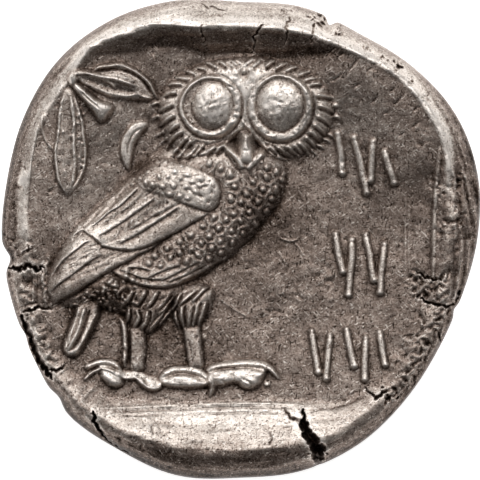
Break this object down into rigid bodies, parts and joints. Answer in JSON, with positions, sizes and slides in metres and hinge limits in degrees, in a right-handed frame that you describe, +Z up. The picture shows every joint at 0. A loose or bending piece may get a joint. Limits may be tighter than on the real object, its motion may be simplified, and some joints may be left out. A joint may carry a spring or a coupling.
{
  "type": "silver tetradrachm coin",
  "caption": "Thick, uneven struck silver coin: a standing owl in a sunk square on top, a plain helmeted head worn flat below.",
  "frame": {"origin": "on the ground, under the middle of the coin's bounding box, owl side up", "axes": "+Z up out of the owl side through the thickness, +Y towards the top of the owl's head, +X towards the rows of strokes"},
  "size_m": [0.024, 0.024, 0.0061],
  "materials": {
    "toned_silver": "ancient silver with a brown-grey tone, dark in the hollows and bright on the high points"
  },
  "bodies": {
    "root": {"coin": "toned_silver"}
  },
  "joints": []
}
